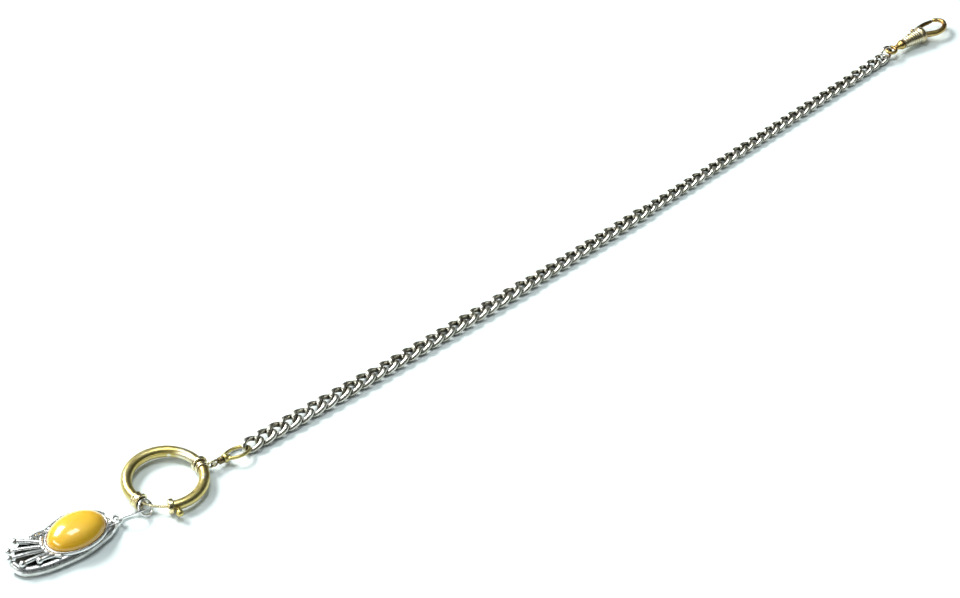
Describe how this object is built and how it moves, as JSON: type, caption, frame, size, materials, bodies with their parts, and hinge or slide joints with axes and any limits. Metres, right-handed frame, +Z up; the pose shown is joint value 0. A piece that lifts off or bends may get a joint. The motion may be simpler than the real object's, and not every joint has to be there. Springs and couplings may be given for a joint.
{
  "type": "pocket watch chain",
  "caption": "Graduated curb watch chain with a spring bolt ring on a swivel, a swivel clip at the far end and a cast silver fob set with an oval amber cabochon.",
  "frame": {"origin": "bottom centre of the bounding box, on the table the chain lies on", "axes": "+X along the chain from the fob to the swivel clip, +Z up from the table, +Y across the chain away from the bolt ring's knob"},
  "size_m": [0.2906, 0.0214, 0.0066],
  "materials": {
    "chain_nickel": "bright plated, slightly warm",
    "worn_gilt": "worn gilt, bright",
    "fob_silver": "bright rhodium-like plate",
    "pave_crystal": "clear faceted stones",
    "amber_cabochon": "opaque polished yellow-amber",
    "brass_clip": "plated brass, worn to copper",
    "spring_steel": "plain"
  },
  "bodies": {
    "bolt_ring": {"ring_tube": "worn_gilt", "bolt_tube": "worn_gilt", "bolt_socket": "worn_gilt", "mouth_collar": "worn_gilt", "flange_collar": "worn_gilt", "loop_collar": "worn_gilt", "spring_plug": "spring_steel", "bolt_spring": "spring_steel"},
    "bolt": {"ring_bolt": "worn_gilt", "bolt_knob": "worn_gilt"},
    "upper_jump": {"upper_jump_ring": "fob_silver"},
    "lower_jump": {"lower_jump_ring": "fob_silver"},
    "fob": {"fob_frame": "fob_silver", "pave_stones": "pave_crystal", "cabochon": "amber_cabochon", "cabochon_bezel": "fob_silver", "fan_rods": "fob_silver"},
    "swivel_barrel": {"swivel_barrel": "worn_gilt"},
    "swivel_ring": {"swivel_ring": "worn_gilt"},
    "chain_01": {"chain_links_01": "chain_nickel"},
    "chain_02": {"chain_links_02": "chain_nickel"},
    "chain_03": {"chain_links_03": "chain_nickel"},
    "chain_04": {"chain_links_04": "chain_nickel"},
    "chain_05": {"chain_links_05": "chain_nickel"},
    "chain_06": {"chain_links_06": "chain_nickel"},
    "chain_07": {"chain_links_07": "chain_nickel"},
    "chain_08": {"chain_links_08": "chain_nickel"},
    "chain_09": {"chain_links_09": "chain_nickel"},
    "chain_10": {"chain_links_10": "chain_nickel"},
    "chain_11": {"chain_links_11": "chain_nickel"},
    "chain_12": {"chain_links_12": "chain_nickel"},
    "chain_13": {"chain_links_13": "chain_nickel"},
    "chain_14": {"chain_links_14": "chain_nickel"},
    "chain_15": {"chain_links_15": "chain_nickel"},
    "chain_16": {"chain_links_16": "chain_nickel"},
    "chain_17": {"chain_links_17": "chain_nickel"},
    "chain_18": {"chain_links_18": "chain_nickel"},
    "chain_19": {"chain_links_19": "chain_nickel"},
    "chain_20": {"chain_links_20": "chain_nickel"},
    "chain_21": {"chain_links_21": "chain_nickel"},
    "chain_22": {"chain_links_22": "chain_nickel"},
    "chain_23": {"chain_links_23": "chain_nickel"},
    "chain_24": {"chain_links_24": "chain_nickel"},
    "chain_25": {"chain_links_25": "chain_nickel"},
    "chain_26": {"chain_links_26": "chain_nickel"},
    "chain_27": {"chain_links_27": "chain_nickel"},
    "chain_28": {"chain_links_28": "chain_nickel"},
    "chain_29": {"chain_links_29": "chain_nickel"},
    "chain_30": {"chain_links_30": "chain_nickel"},
    "chain_31": {"chain_links_31": "chain_nickel"},
    "chain_32": {"chain_links_32": "chain_nickel"},
    "chain_33": {"chain_links_33": "chain_nickel"},
    "end_ring": {"end_jump_ring": "brass_clip"},
    "clip_eye": {"clip_swivel": "brass_clip"},
    "clip": {"clip_body": "brass_clip", "clip_hook": "brass_clip", "lever_pin": "brass_clip", "lever_spring": "spring_steel"},
    "clip_lever": {"clip_lever": "brass_clip"}
  },
  "joints": [
    {"name": "bolt_draw", "type": "hinge", "parent": "bolt_ring", "child": "bolt", "pos_m": [-0.10256, 0.0006, 0], "axis": [0, 0, 1], "range_deg": [0, 38], "stiffness_Nm_per_rad": 0.004, "springref_deg": -20.05, "deforming": ["bolt_spring"]},
    {"name": "fob_jump_upper", "type": "hinge", "parent": "bolt_ring", "child": "upper_jump", "pos_m": [-0.11049, -0.0031, 0.00205], "axis": [-0.4226, 0.9063, 0], "range_deg": [0, 25]},
    {"name": "fob_jump_lower", "type": "hinge", "parent": "upper_jump", "child": "lower_jump", "pos_m": [-0.11229, -0.00367, 0.00205], "axis": [0, 0, 1], "range_deg": [-15, 15]},
    {"name": "fob_lift", "type": "hinge", "parent": "lower_jump", "child": "fob", "pos_m": [-0.11836, -0.0016, 0.0017], "axis": [0.0698, 0.9976, 0], "range_deg": [0, 12]},
    {"name": "ring_swivel_swing", "type": "hinge", "parent": "bolt_ring", "child": "swivel_barrel", "pos_m": [-0.09206, -0.0029, 0.00195], "axis": [0, 0, 1], "range_deg": [-15, 15]},
    {"name": "ring_swivel_spin", "type": "hinge", "parent": "swivel_barrel", "child": "swivel_ring", "pos_m": [-0.08883, -0.00313, 0.00172], "axis": [0.9951, -0.0696, -0.0698], "continuous": true},
    {"name": "link_bend_01", "type": "hinge", "parent": "swivel_ring", "child": "chain_01", "pos_m": [-0.08241, -0.00357, 0.00144], "axis": [0, 0, 1], "range_deg": [-15, 15]},
    {"name": "link_bend_02", "type": "hinge", "parent": "chain_01", "child": "chain_02", "pos_m": [-0.07519, -0.0039, 0.00138], "axis": [0, 0, 1], "range_deg": [-18, 18]},
    {"name": "link_bend_03", "type": "hinge", "parent": "chain_02", "child": "chain_03", "pos_m": [-0.06798, -0.00423, 0.00132], "axis": [0, 0, -1], "range_deg": [-18, 18]},
    {"name": "link_bend_04", "type": "hinge", "parent": "chain_03", "child": "chain_04", "pos_m": [-0.06076, -0.00456, 0.00126], "axis": [0, 0, -1], "range_deg": [-18, 18]},
    {"name": "link_bend_05", "type": "hinge", "parent": "chain_04", "child": "chain_05", "pos_m": [-0.05354, -0.00487, 0.00121], "axis": [0, 0, -1], "range_deg": [-18, 18]},
    {"name": "link_bend_06", "type": "hinge", "parent": "chain_05", "child": "chain_06", "pos_m": [-0.04632, -0.00516, 0.00111], "axis": [0, 0, -1], "range_deg": [-9, 9]},
    {"name": "link_bend_07", "type": "hinge", "parent": "chain_06", "child": "chain_07", "pos_m": [-0.0394, -0.00543, 0.00107], "axis": [0, 0, 1], "range_deg": [-18, 18]},
    {"name": "link_bend_08", "type": "hinge", "parent": "chain_07", "child": "chain_08", "pos_m": [-0.03248, -0.00567, 0.00107], "axis": [0, 0, 1], "range_deg": [-18, 18]},
    {"name": "link_bend_09", "type": "hinge", "parent": "chain_08", "child": "chain_09", "pos_m": [-0.02556, -0.00589, 0.00107], "axis": [0, 0, 1], "range_deg": [-18, 18]},
    {"name": "link_bend_10", "type": "hinge", "parent": "chain_09", "child": "chain_10", "pos_m": [-0.01864, -0.00609, 0.00107], "axis": [0, 0, 1], "range_deg": [-18, 18]},
    {"name": "link_bend_11", "type": "hinge", "parent": "chain_10", "child": "chain_11", "pos_m": [-0.01172, -0.00627, 0.00107], "axis": [0, 0, -1], "range_deg": [-18, 18]},
    {"name": "link_bend_12", "type": "hinge", "parent": "chain_11", "child": "chain_12", "pos_m": [-0.0048, -0.00642, 0.00107], "axis": [0, 0, -1], "range_deg": [-18, 18]},
    {"name": "link_bend_13", "type": "hinge", "parent": "chain_12", "child": "chain_13", "pos_m": [0.00212, -0.00654, 0.00098], "axis": [0, 0, -1], "range_deg": [-18, 18]},
    {"name": "link_bend_14", "type": "hinge", "parent": "chain_13", "child": "chain_14", "pos_m": [0.00848, -0.00663, 0.00098], "axis": [0, 0, -1], "range_deg": [-18, 18]},
    {"name": "link_bend_15", "type": "hinge", "parent": "chain_14", "child": "chain_15", "pos_m": [0.01484, -0.00669, 0.00098], "axis": [0, 0, 1], "range_deg": [-18, 18]},
    {"name": "link_bend_16", "type": "hinge", "parent": "chain_15", "child": "chain_16", "pos_m": [0.02119, -0.00673, 0.00098], "axis": [0, 0, 1], "range_deg": [-18, 18]},
    {"name": "link_bend_17", "type": "hinge", "parent": "chain_16", "child": "chain_17", "pos_m": [0.02755, -0.00676, 0.00098], "axis": [0, 0, 1], "range_deg": [-18, 18]},
    {"name": "link_bend_18", "type": "hinge", "parent": "chain_17", "child": "chain_18", "pos_m": [0.03391, -0.00676, 0.00098], "axis": [0, 0, 1], "range_deg": [-18, 18]},
    {"name": "link_bend_19", "type": "hinge", "parent": "chain_18", "child": "chain_19", "pos_m": [0.04027, -0.00674, 0.00087], "axis": [0, 0, -1], "range_deg": [-9, 9]},
    {"name": "link_bend_20", "type": "hinge", "parent": "chain_19", "child": "chain_20", "pos_m": [0.04589, -0.00672, 0.00087], "axis": [0, 0, -1], "range_deg": [-18, 18]},
    {"name": "link_bend_21", "type": "hinge", "parent": "chain_20", "child": "chain_21", "pos_m": [0.05151, -0.00668, 0.00087], "axis": [0, 0, -1], "range_deg": [-18, 18]},
    {"name": "link_bend_22", "type": "hinge", "parent": "chain_21", "child": "chain_22", "pos_m": [0.05714, -0.00663, 0.00087], "axis": [0, 0, -1], "range_deg": [-18, 18]},
    {"name": "link_bend_23", "type": "hinge", "parent": "chain_22", "child": "chain_23", "pos_m": [0.06276, -0.00657, 0.00087], "axis": [0, 0, 1], "range_deg": [-18, 18]},
    {"name": "link_bend_24", "type": "hinge", "parent": "chain_23", "child": "chain_24", "pos_m": [0.06838, -0.00651, 0.00087], "axis": [0, 0, 1], "range_deg": [-18, 18]},
    {"name": "link_bend_25", "type": "hinge", "parent": "chain_24", "child": "chain_25", "pos_m": [0.074, -0.00644, 0.00087], "axis": [0, 0, 1], "range_deg": [-18, 18]},
    {"name": "link_bend_26", "type": "hinge", "parent": "chain_25", "child": "chain_26", "pos_m": [0.07962, -0.00636, 0.00087], "axis": [0, 0, 1], "range_deg": [-18, 18]},
    {"name": "link_bend_27", "type": "hinge", "parent": "chain_26", "child": "chain_27", "pos_m": [0.08524, -0.00629, 0.00087], "axis": [0, 0, -1], "range_deg": [-18, 18]},
    {"name": "link_bend_28", "type": "hinge", "parent": "chain_27", "child": "chain_28", "pos_m": [0.09086, -0.00622, 0.00087], "axis": [0, 0, -1], "range_deg": [-18, 18]},
    {"name": "link_bend_29", "type": "hinge", "parent": "chain_28", "child": "chain_29", "pos_m": [0.09649, -0.00615, 0.00087], "axis": [0, 0, -1], "range_deg": [-18, 18]},
    {"name": "link_bend_30", "type": "hinge", "parent": "chain_29", "child": "chain_30", "pos_m": [0.10211, -0.00608, 0.00087], "axis": [0, 0, -1], "range_deg": [-18, 18]},
    {"name": "link_bend_31", "type": "hinge", "parent": "chain_30", "child": "chain_31", "pos_m": [0.10773, -0.00602, 0.00087], "axis": [0, 0, 1], "range_deg": [-18, 18]},
    {"name": "link_bend_32", "type": "hinge", "parent": "chain_31", "child": "chain_32", "pos_m": [0.11335, -0.00597, 0.001], "axis": [0, 0, 1], "range_deg": [-18, 18]},
    {"name": "link_bend_33", "type": "hinge", "parent": "chain_32", "child": "chain_33", "pos_m": [0.11897, -0.00593, 0.00112], "axis": [0, 0, 1], "range_deg": [-18, 18]},
    {"name": "end_ring_swing", "type": "hinge", "parent": "chain_33", "child": "end_ring", "pos_m": [0.12459, -0.0059, 0.00112], "axis": [0, 0, 1], "range_deg": [-8, 8]},
    {"name": "clip_eye_swing", "type": "hinge", "parent": "end_ring", "child": "clip_eye", "pos_m": [0.12703, -0.0059, 0.00215], "axis": [0, 0, 1], "range_deg": [-12, 12]},
    {"name": "clip_spin", "type": "hinge", "parent": "clip_eye", "child": "clip", "pos_m": [0.12703, -0.0059, 0.00215], "axis": [0.9962, -0.0872, 0], "continuous": true},
    {"name": "clip_open", "type": "hinge", "parent": "clip", "child": "clip_lever", "pos_m": [0.13338, -0.0057, 0.00215], "axis": [0, 0, -1], "range_deg": [0, 12], "stiffness_Nm_per_rad": 0.004, "springref_deg": -11.46, "deforming": ["lever_spring"]}
  ]
}
